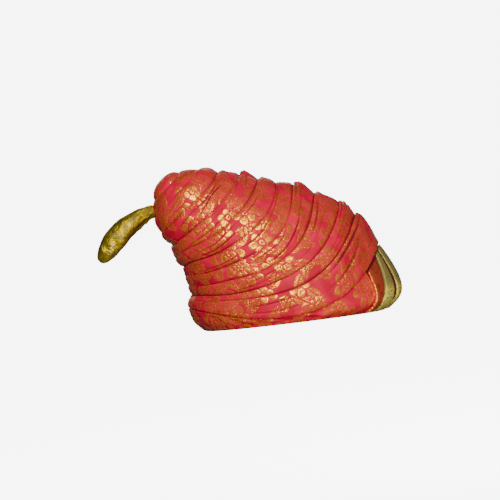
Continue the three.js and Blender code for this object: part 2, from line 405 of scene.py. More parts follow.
# %% Weave
weave_group, given, result = new_group("weave", "Vector Pitch", "Height Slub")
right, upward = split(given["Vector"])
twill = calc("ADD", right, times(upward, 3.0))
feed(result["Height"], calc("PINGPONG", calc("DIVIDE", twill, given["Pitch"]), 1.0))
drawn_out = shift("MULTIPLY", given["Vector"], (0.12, 2.2, 1.0))
feed(result["Slub"], noise(drawn_out, 1.0, 3.0))

# %% [markdown]
# The brocade itself. The ground is crimson silk with a soft shine; the flowers are metal thread with some
# of the red silk showing between its strands, so away from the lamp they turn a dull red-brown. The
# piece's own UV map holds the cloth's real measure in metres, so the pattern follows every fold. An
# attribute tells the right side (1) from the reverse (0), which has no gold, and from a stretch that is
# gold all over (2). Another one paints shade into the colour, darkening the cloth deep in the folds.

# %% Brocade material
SILK_RED = (0.78, 0.003, 0.045, 1.0)
SILK_DEEP = (0.56, 0.002, 0.028, 1.0)
THREAD_GOLD = (1.0, 0.52, 0.0, 1.0)
# The colour of painted shade deep in the folds
PAINTED_FOLD_SHADE = (0.10, 0.006, 0.012, 1.0)
HOLLOW_SHADE = 0.9
STRAND_SHARE = 0.42  # where the weave's height is below this, the silk shows between gold strands
STRAND_COVER = 0.86  # of the silk that a strand hides


def new_material(name):
    """Opens a material: itself, its Principled shader's inputs, and its UV map in millimetres."""
    material = bpy.data.materials.new(name)
    material.use_nodes = True
    open_trees.append(material.node_tree)
    cloth = place("ShaderNodeUVMap")
    cloth.uv_map = "cloth"
    measure = shift("MULTIPLY", cloth.outputs["UV"], (1000.0, 1000.0, 1000.0))
    return material, material.node_tree.nodes["Principled BSDF"].inputs, measure


def raise_bump(height, distance, strength=1.0):
    """A bump of that many metres from a height of 0 to 1."""
    node = place("ShaderNodeBump")
    feed(node.inputs["Height"], height)
    node.inputs["Distance"].default_value = distance
    node.inputs["Strength"].default_value = strength
    return node.outputs["Normal"]


brocade, shader, cloth = new_material("silk brocade")
drift = shift("SUBTRACT", noise(cloth, 0.12, output="Color"), (0.5, 0.5, 0.5))
drawn = shift("ADD", cloth, shift("MULTIPLY", drift, (3.0, 3.0, 0.0)))
face = attribute("right_side")
all_gold = calc("SUBTRACT", face, 1.0, clamp=True)
woven = use_group(flower_group, Vector=drawn, Start=all_gold)
shown = calc("MINIMUM", face, 1.0)
flowers = times(woven["Gold"], shown)
weave = use_group(weave_group, Vector=cloth, Pitch=0.35)
strand = step(weave["Height"], STRAND_SHARE - 0.1, STRAND_SHARE + 0.1)
worn = times(step(weave["Slub"], 0.18, 0.40), STRAND_COVER)
thread = times(flowers, times(strand, worn))
silk = blend(step(noise(cloth, 0.05), 0.35, 0.7), SILK_DEEP, SILK_RED)
# Painted shade: the colour darkens towards a deep red where a fold, groove, slit or pleat would lie in shade
shade = times(attribute("hollow"), HOLLOW_SHADE)
feed(shader["Base Color"], blend(shade, blend(thread, silk, THREAD_GOLD), PAINTED_FOLD_SHADE))
feed(shader["Metallic"], thread)
feed(shader["Roughness"], minus(0.58, times(thread, 0.36)))
shader["Specular IOR Level"].default_value = 0.15
shader["Sheen Weight"].default_value = 0.08
shader["Sheen Roughness"].default_value = 0.4
shader["Sheen Tint"].default_value = (1.0, 0.25, 0.32, 1.0)
relief = calc("MULTIPLY_ADD", weave["Height"], 0.08, woven["Puff"])
feed(shader["Normal"], raise_bump(relief, 0.35 * MM, 0.6))

# %% [markdown]
# The strips at the back are woven of gold thread all over, a little crumpled, with painted light at the foot.
# The horn is covered in thin gold cloth, crumpled over its padding: small facets catch the lamp in bright
# patches and the rest stays olive.

# %% Gold materials
STRIP_GOLD = (0.40, 0.31, 0.055, 1.0)
STRIP_PALE = (0.45, 0.38, 0.11, 1.0)
STRIP_PAINTED_LIGHT = (1.0, 0.80, 0.10, 1.0)
HORN_GOLD = (0.62, 0.42, 0.0, 1.0)
HORN_OLIVE = (0.27, 0.21, 0.04, 1.0)

gold_cloth, shader, cloth = new_material("gold strip cloth")
weave = use_group(weave_group, Vector=cloth, Pitch=0.5)
rubbed = step(weave["Slub"], 0.3, 0.7)
_, from_foot = split(cloth)
crinkle = step(noise(cloth, 0.4, 3.0), 0.36, 0.58)
# Painted light: crinkled patches near the foot turn a bright, less metallic gold, as if lit.
foot = times(step(from_foot, 42.0, 26.0), crinkle)
worn_gold = blend(rubbed, STRIP_GOLD, STRIP_PALE)
feed(shader["Base Color"], blend(foot, worn_gold, STRIP_PAINTED_LIGHT))
feed(shader["Metallic"], minus(0.5, times(foot, 0.4)))
feed(shader["Roughness"], calc("ADD", 0.30, times(weave["Slub"], 0.25)))
relief = calc("MULTIPLY_ADD", weave["Height"], 0.3, facets(cloth, 0.7))
feed(shader["Normal"], raise_bump(relief, 0.6 * MM, 0.6))

horn_cloth, shader, cloth = new_material("gold horn cloth")
weave = use_group(weave_group, Vector=cloth, Pitch=0.5)
patch = step(noise(cloth, 0.16, 4.0), 0.38, 0.60)
feed(shader["Base Color"], blend(patch, HORN_OLIVE, HORN_GOLD))
shader["Metallic"].default_value = 0.9
feed(shader["Roughness"], minus(0.42, times(patch, 0.12)))
relief = calc("MULTIPLY_ADD", weave["Height"], 0.15, facets(cloth, 0.55))
feed(shader["Normal"], raise_bump(relief, 0.75 * MM, 0.7))

# %% [markdown]
# All the turns lie on one wall: a stack of closed, tilted ovals, the creases, whose sides hang below
# the straight line from front to back. The wall could be a sculpted mesh, but as a function of the angle
# round the head and the height in creases it can be asked for any point, as fine as a fold needs.

# %% Wall
FOLD_LINES = MM * np.array([
    # front x, front z, back x, back z, half width, sag
    (-54, 0, 144, 0, 88, 0),
    (-64, 13, 161.7, 21, 92, 12),
    (-69, 29, 144, 73, 94, 43),
    (-68, 35, 124, 108, 94, 37),
    (-66, 41, 108, 123, 92, 38),
    (-67, 51, 82, 136, 88, 35),
    (-68, 62, 60, 147, 83, 30),
    (-69, 73, 43, 151, 76, 19),
    (-75, 84, 24, 158, 68, 11),
    (-79, 97, 3, 165, 59, 7),
    (-88, 112, -18, 170, 49, 2),
    (-92, 130, -41, 176, 38, 0),
    (-92, 148, -61, 174, 24, 0),
])
BELLY_LINE, HEM_LINE = 1, 2
TIP_LINE = len(FOLD_LINES) - 1
OVAL_POWER = 0.92
SAG_LEAN = 0.35
WANDER = 1.3 * MM  # how far a crease strays from its even line
WAVES = np.arange(2, 8)
WAVE_PHASES = chance.uniform(0, 2 * np.pi, (TIP_LINE + 1, len(WAVES)))


def wave(angle, line):
    """A sum of sines of 2 to 7 turns round the head, each crease with its own phases, about -1 to 1."""
    sines = np.sin(angle[..., None] * WAVES + WAVE_PHASES[line]) / np.sqrt(WAVES)
    return sines.sum(axis=-1) * 0.6


def oval(angle, power):
    """The cosine and the sine raised to a power, with their signs kept: squarer the smaller the power."""
    waves = np.cos(angle), np.sin(angle)
    return [np.sign(value) * np.abs(value) ** power for value in waves]


def crease(line, angle):
    """A crease's point: along its half chord by the cosine, across by the sine, and down by the sag."""
    front_x, front_z, back_x, back_z, half_width, sag = np.moveaxis(FOLD_LINES[line], -1, 0)
    half_x, half_z = (back_x - front_x) / 2, (back_z - front_z) / 2
    length = np.hypot(half_x, half_z)
    cos, sin = oval(angle, OVAL_POWER)
    stray = WANDER * wave(angle, line) * np.clip(line - HEM_LINE, 0, 1)
    hang = sag * np.sin(angle) ** 2 * (1 + SAG_LEAN * cos) + stray
    x = (front_x + back_x) / 2 + half_x * cos + hang * half_z / length
    z = (front_z + back_z) / 2 + half_z * cos - hang * half_x / length
    return np.stack([x, half_width * sin, z], axis=-1)


def wall(angle, up):
    """A centripetal Catmull-Rom curve up the wall at each angle, through the creases; up counts them."""
    angle, up = np.broadcast_arrays(angle, up)
    below = np.clip(np.floor(up).astype(int), 0, TIP_LINE - 1)
    share = (up - below)[..., None]
    first, second = crease(below, angle), crease(below + 1, angle)
    at_foot, at_tip = (below == 0)[..., None], (below == TIP_LINE - 1)[..., None]
    before = np.where(at_foot, 2 * first - second, crease(np.maximum(below - 1, 0), angle))
    after = np.where(at_tip, 2 * second - first, crease(np.minimum(below + 2, TIP_LINE), angle))
    gap_0, gap_1, gap_2 = (
        np.sqrt(np.linalg.norm(b - a, axis=-1, keepdims=True))
        for a, b in ((before, first), (first, second), (second, after))
    )
    leaving = (first - before) / gap_0 - (second - before) / (gap_0 + gap_1) + (second - first) / gap_1
    arriving = (second - first) / gap_1 - (after - first) / (gap_1 + gap_2) + (after - second) / gap_2
    leaving, arriving = leaving * gap_1, arriving * gap_1
    cubic = 2 * first - 2 * second + leaving + arriving
    square = -3 * first + 3 * second - 2 * leaving - arriving
    return ((cubic * share + square) * share + leaving) * share + first


def on_wall(angle, up, rise):
    """The wall's point moved rise metres out, along the cross product of its two tangents."""
    angle, up, rise = np.broadcast_arrays(angle, up, rise)
    turn, climb = 0.01, 0.01
    around = wall(angle + turn, up) - wall(angle - turn, up)
    upward = wall(angle, up + climb) - wall(angle, up - climb)
    out = np.cross(around, upward)
    out /= np.linalg.norm(out, axis=-1, keepdims=True)
    return wall(angle, up) + rise[..., None] * out


print("wall height:", round(float(FOLD_LINES[:, 3].max()) / MM), "mm")

# %% [markdown]
# Every piece is a grid of points, so one helper makes them all into meshes. A grid may close on itself
# along its rows, its columns or both; the UV map then has one more row or column than the points. Where
# a whole row lies in one point, a pole, its doubles are merged.

# %% Grid meshes


def grid_mesh(name, points, uv, material, close_rows=False, close_columns=False, **attributes):
    """Joins each four neighbouring points of a grid in a face. uv is the cloth's own measure in metres."""
    rows, columns = points.shape[:2]
    row_starts = np.arange(rows if close_rows else rows - 1)
    column_starts = np.arange(columns if close_columns else columns - 1)
    row, column = np.meshgrid(row_starts, column_starts, indexing="ij")
    corners_row = np.stack([row, row + 1, row + 1, row], axis=-1).reshape(-1, 4)
    corners_column = np.stack([column, column, column + 1, column + 1], axis=-1).reshape(-1, 4)
    faces = (corners_row % rows) * columns + corners_column % columns
    mesh = bpy.data.meshes.new(name)
    mesh.from_pydata(points.reshape(-1, 3), [], faces)
    layer = mesh.uv_layers.new(name="cloth")
    layer.data.foreach_set("uv", uv[corners_row, corners_column].ravel())
    for attribute, values in attributes.items():
        values = np.broadcast_to(values, (rows, columns)).ravel().astype(np.float32)
        mesh.attributes.new(attribute, "FLOAT", "POINT").data.foreach_set("value", values)
    mesh.polygons.foreach_set("use_smooth", np.ones(len(faces), bool))
    mesh.materials.append(material)
    mesh.update()
    return add_object(name, mesh)


def merge_poles(piece):
    """Merges points that lie within a micrometre of each other, which closes a grid at its poles."""
    work = bmesh.new()
    work.from_mesh(piece.data)
    bmesh.ops.remove_doubles(work, verts=work.verts, dist=1e-6)
    work.to_mesh(piece.data)
    work.free()


def measure_along(points, axis):
    """The distance run along an axis of a grid, from 0, with one step more for a closed grid."""
    onward = np.concatenate([points, np.take(points, [0], axis=axis)], axis=axis)
    steps = np.linalg.norm(np.diff(onward, axis=axis), axis=-1)
    start = np.zeros_like(np.take(steps, [0], axis=axis))
    return np.concatenate([start, np.cumsum(steps, axis=axis)], axis=axis)


def dress(piece, node):
    """Makes a piece ride on the root body and stand in for its node, whose solid is hidden."""
    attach(piece, "root")
    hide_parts(node)


cloth_pieces, flat_sizes = {}, {}


def lay_cloth(piece, node, flat):
    """Dresses a sheet of cloth and notes the size it was cut to."""
    dress(piece, node)
    cloth_pieces[node] = piece
    flat_sizes[node] = flat


# %% [markdown]
# The cloth's own measure runs along each turn from the middle of the near side, and across it from its
# lip. Every turn shows another stretch of the cloth, because some is hidden in the folds. The last two
# turns and the tip are one smooth bulb, so there the pattern runs on: the bulb is unrolled like a paper
# cone, which hardly stretches it.

# %% Cloth measure
ROUND_STEPS = 480
NEAR_STEP = ROUND_STEPS // 2
SMOOTH_FROM = 9  # the first turn of the smooth bulb
CONE_OPEN = 0.8  # how much of a full circle the unrolled bulb fills
round_angles = np.pi / 2 + np.linspace(0, 2 * np.pi, ROUND_STEPS, endpoint=False)[:, None]


def climb(line):
    """The distance from the foot up the wall to a crease, at each angle round the head."""
    ups = np.linspace(0, line, 12 * line + 1)[None, :]
    steps = np.linalg.norm(np.diff(wall(round_angles, ups), axis=1), axis=-1)
    return steps.sum(axis=1, keepdims=True)


def from_near(ring):
    """The distance along a ring of points from its near side, with one step more to close it."""
    along = measure_along(ring, 0)
    return along - along[NEAR_STEP]


def band_measure(ring, across, start):
    """UV of a narrow turn: along one ring of it, and across it."""
    across = np.concatenate([across, across[:1]])
    along = np.broadcast_to(from_near(ring)[:, None], across.shape)
    return np.stack([along + start[0], across + start[1]], axis=-1)


def band_flat(points, ring):
    """The flat size of a closed band: half its mean section by the length of one ring of it."""
    return measure_along(points, 1)[:, -1].mean() / 2, np.ptp(from_near(ring))


def cone_measure(from_tip):
    """UV of the bulb: its distance from the tip, turned by its share of the way round."""
    along = from_near(wall(round_angles, TIP_LINE - 1.0)[:, 0])
    turn = 2 * np.pi * CONE_OPEN * along / np.ptp(along)
    from_tip = np.concatenate([from_tip, from_tip[:1]])
    return np.stack([from_tip * np.sin(turn)[:, None], from_tip * np.cos(turn)[:, None]], axis=-1)


def close_loop(uv):
    """Repeats the first column after the last, for a section that closes on itself."""
    return np.concatenate([uv, uv[:, :1]], axis=1)


# %% [markdown]
# The tip is a dome of the same cloth, stretched over the end of the cone. A sphere squashed by hand would
# not meet the oval of the last crease, so the dome is that oval itself, shrinking as it rises.

# %% Tip cap
TIP_RISE = 12 * MM
TIP_WALL = 4 * MM
TIP_PADDING = 0.2 * MM  # stands out of the solid, level with the turn round it
WALL_THICK = 2.4
DOME_STEPS = 30


def tip_dome(inset):
    """The last crease's oval, shrunk by the cosine and lifted by the sine of an arc up to its pole."""
    oval = crease(np.array([TIP_LINE]), round_angles)
    front, back = FOLD_LINES[TIP_LINE, :2], FOLD_LINES[TIP_LINE, 2:4]
    middle = np.array([(front[0] + back[0]) / 2, 0, (front[1] + back[1]) / 2])
    axis = np.array([front[1] - back[1], 0, back[0] - front[0]])
    axis /= np.linalg.norm(axis)
    arc = np.linspace(0, np.pi / 2, DOME_STEPS)[:, None]
    out = oval - middle
    reach = np.linalg.norm(out, axis=-1, keepdims=True)
    out = out * (reach - inset) / reach
    dome = middle + out * np.cos(arc) + axis * (TIP_RISE - inset) * np.sin(arc)
    dome[:, -1] = middle + axis * (TIP_RISE - inset)
    return dome


outer_dome = tip_dome(-TIP_PADDING)
margin = on_wall(round_angles, TIP_LINE - 0.25, np.array([-WALL_THICK, -0.8]) * MM)
points = np.concatenate([tip_dome(TIP_WALL)[:, ::-1], margin, outer_dome], axis=1)
shown = np.concatenate([np.zeros(DOME_STEPS + 1), np.ones(DOME_STEPS + 1)])
run = measure_along(points, 1)[:, :-1]
dome_arc = run[:, -1:] - run[:, -DOME_STEPS][:, None]
uv = cone_measure(run[:, -1:] - run)
tip = grid_mesh("cloth_tip_cap", points, uv, brocade, close_rows=True, right_side=shown)
merge_poles(tip)
lay_cloth(tip, "tip_cap", (2 * dome_arc.mean(), 2 * dome_arc.mean()))
print("tip cap:", len(tip.data.polygons), "faces")

# %% [markdown]
# A turn of the cloth is its section carried round the head. The section starts under the lip, runs down
# the inside and back up the outside, so that each turn laps over the edge of the one above. Its lower end
# swells under the next lip, so that no light shows through the lap. Narrow stretches, at the front, stand
# less high. Long tucks and a soft crumple break up the even bands; a cloth simulation would give such
# folds too, but not where the real turban has them.

# %% Turn sections
SECTION_STEPS = 84
STEPS_COLUMN = 3
ROUNDING_PASSES = 3
FULL_WIDTH = 17 * MM
LEAST_FULLNESS = 0.3

# Columns: share down from the upper crease, rise in mm, crown in mm on a full turn, steps to the next row,
# 1 on the outside, and the rise and the crown where the creases are smoothed away. The hem never is.
TURN_SECTION = np.array([
    (0.02, 0.5, 0.0, 5, 0, 0.5, 0.0),
    (0.40, -0.4, 0.0, 4, 0, -0.4, 0.0),
    (0.75, -WALL_THICK, 0.0, 4, 0, -WALL_THICK, 0.0),
    (1.25, -WALL_THICK, 0.0, 2, 0, -WALL_THICK, 0.0),
    (1.25, 0.0, 0.0, 3, 0, 0.0, 0.0),
    (1.10, 0.35, 0.0, 2, 0, 0.4, 0.2),
    (1.00, -0.5, 0.0, 8, 1, 0.8, 0.6),
    (0.85, -0.1, 0.9, 12, 1, 0.8, 1.4),
    (0.60, 0.0, 2.3, 14, 1, 0.6, 2.4),
    (0.32, 0.0, 3.4, 10, 1, 0.4, 3.0),
    (0.14, 0.0, 3.5, 8, 1, 0.4, 2.7),
    (0.03, 0.2, 2.7, 6, 1, 0.5, 1.9),
    (-0.03, 0.6, 1.2, 6, 1, 0.7, 0.9),
])
HEM_SECTION = np.array([
    (0.02, 0.5, 0.0, 5, 0),
    (0.50, 0.3, 0.0, 5, 0),
    (0.98, 0.5, 0.0, 4, 0),
    (1.02, 0.8, 0.6, 4, 1),
    (1.00, 1.0, 1.6, 6, 1),
    (0.90, 0.9, 2.4, 12, 1),
    (0.65, 0.6, 3.0, 16, 1),
    (0.32, 0.0, 3.6, 10, 1),
    (0.14, 0.0, 3.5, 8, 1),
    (0.03, 0.2, 2.7, 7, 1),
    (-0.03, 0.6, 1.2, 7, 1),
])


def closed_section(rows):
    """A closed section through the rows, with their steps between them, rounded by averaging."""
    ends = np.concatenate([[0], np.cumsum(rows[:, STEPS_COLUMN])])
    at = np.linspace(0, ends[-1], SECTION_STEPS, endpoint=False)
    loop = np.delete(np.vstack([rows, rows[:1]]), STEPS_COLUMN, axis=1)
    section = np.stack([np.interp(at, ends, column) for column in loop.T])
    for _ in range(ROUNDING_PASSES):
        section = (np.roll(section, 1, axis=1) + 2 * section + np.roll(section, -1, axis=1)) / 4
    return section


TUCK_MIDDLES = 0.36, 0.68  # these and the next values are shares of the turn's width
TUCK_WANDER, TUCK_LEAN = 0.08, 0.22
TUCK_STEEP, TUCK_GENTLE = 0.035, 0.16
GROOVE_ABOVE, GROOVE_WIDE, GROOVE_DEEP = 0.06, 0.035, 0.5
CRUMPLE_SINES = 6
CRUMPLE_SHORTEST, CRUMPLE_LONGEST = 14, 34  # millimetres
CRUMPLE_SLANT = 1.3


def tucks(angle, down, seed):
    """Ridges that slant up a turn to the back and fade in and out, the groove above each, and its painted
    shade.
    """
    dice = np.random.default_rng(seed)
    height = hollow = 0
    for middle in TUCK_MIDDLES:
        first, second = dice.integers(0, TIP_LINE + 1, 2)
        lean = middle + TUCK_WANDER * wave(angle, first) - TUCK_LEAN * np.cos(angle)
        strength = np.clip(0.25 + 0.9 * wave(angle + dice.uniform(0, 6), second), 0, 1)
        away = down - lean
        ridge = np.exp(-((away / np.where(away < 0, TUCK_STEEP, TUCK_GENTLE)) ** 2))
        groove = np.exp(-(((away + GROOVE_ABOVE) / GROOVE_WIDE) ** 2))
        height = height + strength * (ridge - GROOVE_DEEP * groove)
        hollow = hollow + strength * groove
    return height, hollow


def crumple(u, v, seed):
    """A sum of slanting sines over the cloth's own measure, for soft unevenness, about -1 to 1."""
    dice = np.random.default_rng(seed)
    total = 0
    for _ in range(CRUMPLE_SINES):
        length = dice.uniform(CRUMPLE_SHORTEST, CRUMPLE_LONGEST) * MM
        slant = dice.uniform(-CRUMPLE_SLANT, CRUMPLE_SLANT)
        phase = dice.uniform(0, 6)
        total = total + np.sin(2 * np.pi * (u * np.cos(slant) + v * np.sin(slant)) / length + phase)
    return total * 2 / CRUMPLE_SINES


print("points round a section:", SECTION_STEPS)

# %% Turns
TUCK_HEIGHT = 1.7 * MM
TUCK_LEAST_WIDTH = 8 * MM  # narrower stretches have no tucks
CRUMPLE_HEIGHT = 0.45 * MM
SMOOTH_SHARE = 0.3  # of the tucks, on the smooth bulb
# How wide the painted shade along each crease is, and how strong it is in the tuck grooves
CREASE_SHADE_WIDE = 1.9 * MM
TUCK_SHADE = 1.2
# How far each crease from the hem up is smoothed away, at the front and elsewhere
SOFT_FRONT = np.array([0, 0.9, 0, 1, 0.9, 0, 0.8, 0, 0.9, 1, 1])
SOFT_ELSEWHERE = np.array([0, 0, 0, 0, 0, 0, 0, 0, 0, 1, 1])
# Millimetres that each crease from the hem up is pushed out at the front
PUSHED_FRONT = np.array([0, 0, -0.8, -1.8, 0.4, 1.0, 2.0, 0, -0.8, 0.4, 0])
LUMPS = [
    # turn number, share down from the lip, angle and share it covers, height in mm; all at the back
    (9, 0.5, 0.25, 0.40, 1.5),
    (8, 0.8, 0.16, 0.30, 1.8),
    (7, 0.08, 0.09, 0.50, 3.0),
    (7, 0.6, 0.12, 0.30, 0.8),
    (6, 0.6, 0.15, 0.35, 0.9),
    (5, 0.15, 0.16, 0.25, -2.0),
    (5, 0.85, 0.16, 0.25, 1.6),
    (4, 0.08, 0.14, 0.50, 2.4),
    (4, 0.6, 0.16, 0.40, 1.8),
    (3, 0.4, 0.20, 0.50, -0.6),
    (2, 0.4, 0.20, 0.50, -0.9),
    (1, 0.3, 0.25, 0.30, 1.2),
    (1, 0.85, 0.25, 0.20, -0.8),
]
frontal_share = np.clip(-np.cos(round_angles), 0, 1) ** 2


def softness(number, down):
    """How smooth a turn is: by its upper crease at its lip, and by its lower crease further down."""
    soft = SOFT_ELSEWHERE + (SOFT_FRONT - SOFT_ELSEWHERE) * frontal_share
    upper, lower = soft[:, number, None], soft[:, number - 1, None]
    share = np.clip((down - 0.3) / 0.5, 0, 1)
    return upper + (lower - upper) * share


def lip_height(line):
    """How high a lip stands round the head: full at the front and the back, and uneven at the sides."""
    uneven = np.clip(0.78 + 0.45 * wave(round_angles, line), 0.4, 1.15)
    return 1 + (uneven - 1) * np.sin(round_angles) ** 2


def turn_grid(upper_line, number):
    """The wall's grid under a closed section, which side shows, the distance below the lip, and painted
    shade.
    """
    down, rise, crown, outside, *smooth = closed_section(HEM_SECTION if number == 1 else TURN_SECTION)
    width = climb(upper_line) - climb(upper_line - 1)
    soft = softness(number, down)
    if smooth:
        rise, crown = rise + (smooth[0] - rise) * soft, crown + (smooth[1] - crown) * soft
    fullness = np.clip(width / FULL_WIDTH, LEAST_FULLNESS, 1) * lip_height(upper_line)
    tucked = np.clip((width - TUCK_LEAST_WIDTH) / FULL_WIDTH, 0, 1)
    tucked = tucked * (SMOOTH_SHARE if number >= SMOOTH_FROM else 1)
    along = measure_along(wall(round_angles, upper_line - 0.4), 0)[:-1]
    height = (rise + crown * fullness) * MM
    tuck, hollow = tucks(round_angles, down, 100 + number)
    height = height + outside * tucked * TUCK_HEIGHT * tuck
    height = height + outside * tucked * CRUMPLE_HEIGHT * crumple(along, down * width, 200 + number)
    from_back = np.angle(np.exp(1j * round_angles))
    for turn, spot, spread, reach, lump in LUMPS:
        if turn == number:
            shape = np.exp(-((from_back / spread) ** 2) - ((down - spot) / reach) ** 2)
            height = height + outside * lump * MM * shape
    pushed = np.interp(number - down, np.arange(len(PUSHED_FRONT)), PUSHED_FRONT)
    height = height + pushed * MM * frontal_share
    # Painted shade: the colour is darkened along each crease below the lip of the turn above, and in the tuck
    # grooves.
    shade_wide = CREASE_SHADE_WIDE * np.clip(1 + 0.7 * wave(round_angles + 1, upper_line), 0.4, 1.8)
    crease_shade = np.exp(-(((down - 1) * width / shade_wide) ** 2)) * (1 - soft) * (number > 1)
    hollow = np.clip(TUCK_SHADE * tucked * hollow + crease_shade, 0, 1)
    return on_wall(round_angles, upper_line - down, height), outside, down * width, hollow


for line in range(HEM_LINE + 1, TIP_LINE + 1):
    number = line - HEM_LINE
    name = f"turn_{number:02d}"
    points, outside, below_lip, hollow = turn_grid(line, number)
    middle_ring = points[:, int(SECTION_STEPS * 0.75)]
    if number >= SMOOTH_FROM:
        uv = cone_measure(dome_arc + climb(TIP_LINE) - climb(line) + below_lip)
    else:
        uv = band_measure(middle_ring, -below_lip, chance.uniform(0, 0.09, 2))
    uv = close_loop(uv)
    piece = grid_mesh(f"cloth_{name}", points, uv, brocade, True, True, right_side=outside, hollow=hollow)
    lay_cloth(piece, name, band_flat(points, middle_ring))
print("turns:", TIP_LINE - HEM_LINE)

# %% [markdown]
# The rim band comes out from under the hem, bellies out and rolls under to the flat foot. It is one turn
# of the same cloth, with the same soft crumple.

# %% Rim band
LINING_INSET = 6 * MM
RIM_INSIDE = np.array([(2.25, 0.1), (2.25, -2.4), (1.5, -3.4), (1.0, -4.0), (0.5, -4.0)])  # up, rise in mm
RIM_TOP = 2.12
RIM_STEPS = 48
FRONT_BULGE = 2.4 * MM
BULGE_PROFILE = [0, 0.2, 1.0, 1.8, 2.0], [0.1, 0.6, 1.0, 0.8, 0.0]  # creases up the wall, share of the bulge
SLIT_REACH = 40  # degrees from the back where the band lies in the shade between the strips


def rim_grid():
    """Wall points down the inside, across the foot and up the outside, and how far below the top."""
    inside = on_wall(round_angles, RIM_INSIDE[:, 0], RIM_INSIDE[:, 1] * MM)
    foot = crease(np.array([0]), round_angles)
    middle = np.array([45 * MM, 0, 0])
    inset = foot + LINING_INSET * (middle - foot) / np.linalg.norm(middle - foot, axis=-1, keepdims=True)
    ups = np.linspace(0.05, RIM_TOP, RIM_STEPS)
    along = measure_along(wall(round_angles, 1.0), 0)[:-1]
    ease = np.clip(ups, 0, 0.5) * np.clip(2.0 - ups, 0, 0.5) * 4
    bulge = FRONT_BULGE * np.clip(-np.cos(round_angles), 0, 1) * np.interp(ups, *BULGE_PROFILE)
    outside = on_wall(round_angles, ups, bulge + ease * 0.5 * MM * crumple(along, ups * 30 * MM, 300))
    shown = np.concatenate([np.zeros(len(RIM_INSIDE) + 1), np.ones(RIM_STEPS + 1)])
    points = np.concatenate([inside, inset, foot, outside], axis=1)
    run = measure_along(points, 1)[:, :-1]
    return points, shown, run[:, -1:] - run


points, shown, below_hem = rim_grid()
# Painted shade: the band is darkened where it lies between the strips at the back.
slit_painted_shade = np.abs(round_angles - 2 * np.pi) < np.radians(SLIT_REACH)
middle_ring = points[:, len(RIM_INSIDE) + RIM_STEPS // 2]
uv = close_loop(band_measure(middle_ring, -below_hem, (0.03, 0.0)))
rim = grid_mesh("cloth_rim_band", points, uv, brocade, True, True, right_side=shown, hollow=slit_painted_shade)
lay_cloth(rim, "rim_band", band_flat(points, middle_ring))
print("rim band:", [round(float(side), 3) for side in flat_sizes["rim_band"]], "m flat")

# %% [markdown]
# The gold strips and the pleats beside them lie on the rim band and draw in towards the hem. Each is a
# thin, closed slab with rounded edges that follows the wall. The pleat has a gold selvedge at its edge
# and painted shade over the rest.

# %% Back strips
STRIP_GAP = 0.4 * MM
STRIP_THICK = 1.5 * MM
STRIP_FLOOR_GAP = 1.2 * MM
STRIP_PUFF = 2.2 * MM
STRIP_POWER = 0.5
BACK_STRIPS = [
    # node, edges at the foot and at the hem in degrees from the back, top, material, slot
    ("gold_strip_near", (-37.5, -25.0), (-22, -17.5), 1.95, gold_cloth, "gold_cloth"),
    ("gold_strip_back", (-17.0, 17.0), (-14.5, 14.5), 1.95, gold_cloth, "gold_cloth"),
    ("gold_strip_far", (25.0, 37.5), (17.5, 22), 1.95, gold_cloth, "gold_cloth"),
    ("pleat_near", (-45, -39), (-38, -23.5), 1.90, brocade, "brocade"),
    ("pleat_far", (39, 45), (23.5, 38), 1.90, brocade, "brocade"),
]
STRIP_LONG, STRIP_ROUND = 90, 64
SELVEDGE_FROM = 0.86  # of the way to the pleat's outer edge
# How much of a pleat is gold, and how dark its painted shade is
PLEAT_GOLD, PLEAT_SHADE = 0.45, 0.62


def strip_grid(foot, hem, top):
    """A flattened oval section across the strip, carried up the wall from the foot to its top."""
    around = np.linspace(0, 2 * np.pi, STRIP_ROUND, endpoint=False)[None, :]
    across, thick = oval(around, STRIP_POWER)
    up = np.linspace(0.1, top, STRIP_LONG)[:, None]
    drawn_in = np.clip(up - BELLY_LINE, 0, 1)
    start, end = (foot[k] + (hem[k] - foot[k]) * drawn_in for k in (0, 1))
    angle = np.radians((start + end) / 2 + (end - start) / 2 * across)
    puff = STRIP_PUFF * np.clip(thick, 0, 1) * np.sqrt(np.sin(np.pi * up / top).clip(0))
    points = on_wall(angle, up, STRIP_GAP + STRIP_THICK * (0.5 + 0.5 * thick) + puff)
    points[..., 2] = np.maximum(points[..., 2], STRIP_FLOOR_GAP)
    return points, across + 0 * up


def close_ends(points):
    """Adds a row of one point, the loop's middle, before the first and after the last loop of a grid."""
    ends = [np.broadcast_to(points[k].mean(axis=0), points[k].shape)[None] for k in (0, -1)]
    return np.concatenate([ends[0], points, ends[1]])


for node, foot, hem, top, material, slot in BACK_STRIPS:
    points, across = strip_grid(foot, hem, top)
    along = measure_along(points, 0)[:-1]
    points = close_ends(points)
    across, along = (np.concatenate([rows[:1], rows, rows[-1:]]) for rows in (across, along))
    outer = np.sign(foot[0] + foot[1])
    selvedge = across * outer > SELVEDGE_FROM
    face = 1 + np.where(selvedge, 1, PLEAT_GOLD)
    # Painted shade: away from its selvedge the pleat is darkened, as if turned from the lamp.
    hollow = PLEAT_SHADE * (~selvedge)
    uv = np.stack([measure_along(points, 1), close_loop(along)], axis=-1)
    piece = grid_mesh(f"cloth_{node}", points, uv, material, False, True, right_side=face, hollow=hollow)
    merge_poles(piece)
    lay_cloth(piece, node, (measure_along(points, 1)[1:-1, -1].mean() / 2, along[-1].mean()))
print("strips:", len(BACK_STRIPS))

# %% [markdown]
# The horn is a padded tube: ovals carried along its curve and pinched into a seam below. Its cloth is cut
# a little too big, so a short cloth simulation with air pressure inside gives it the small puckers that
# stuffing does. The root is pinned, no point may stray far, and the result replaces the mesh.

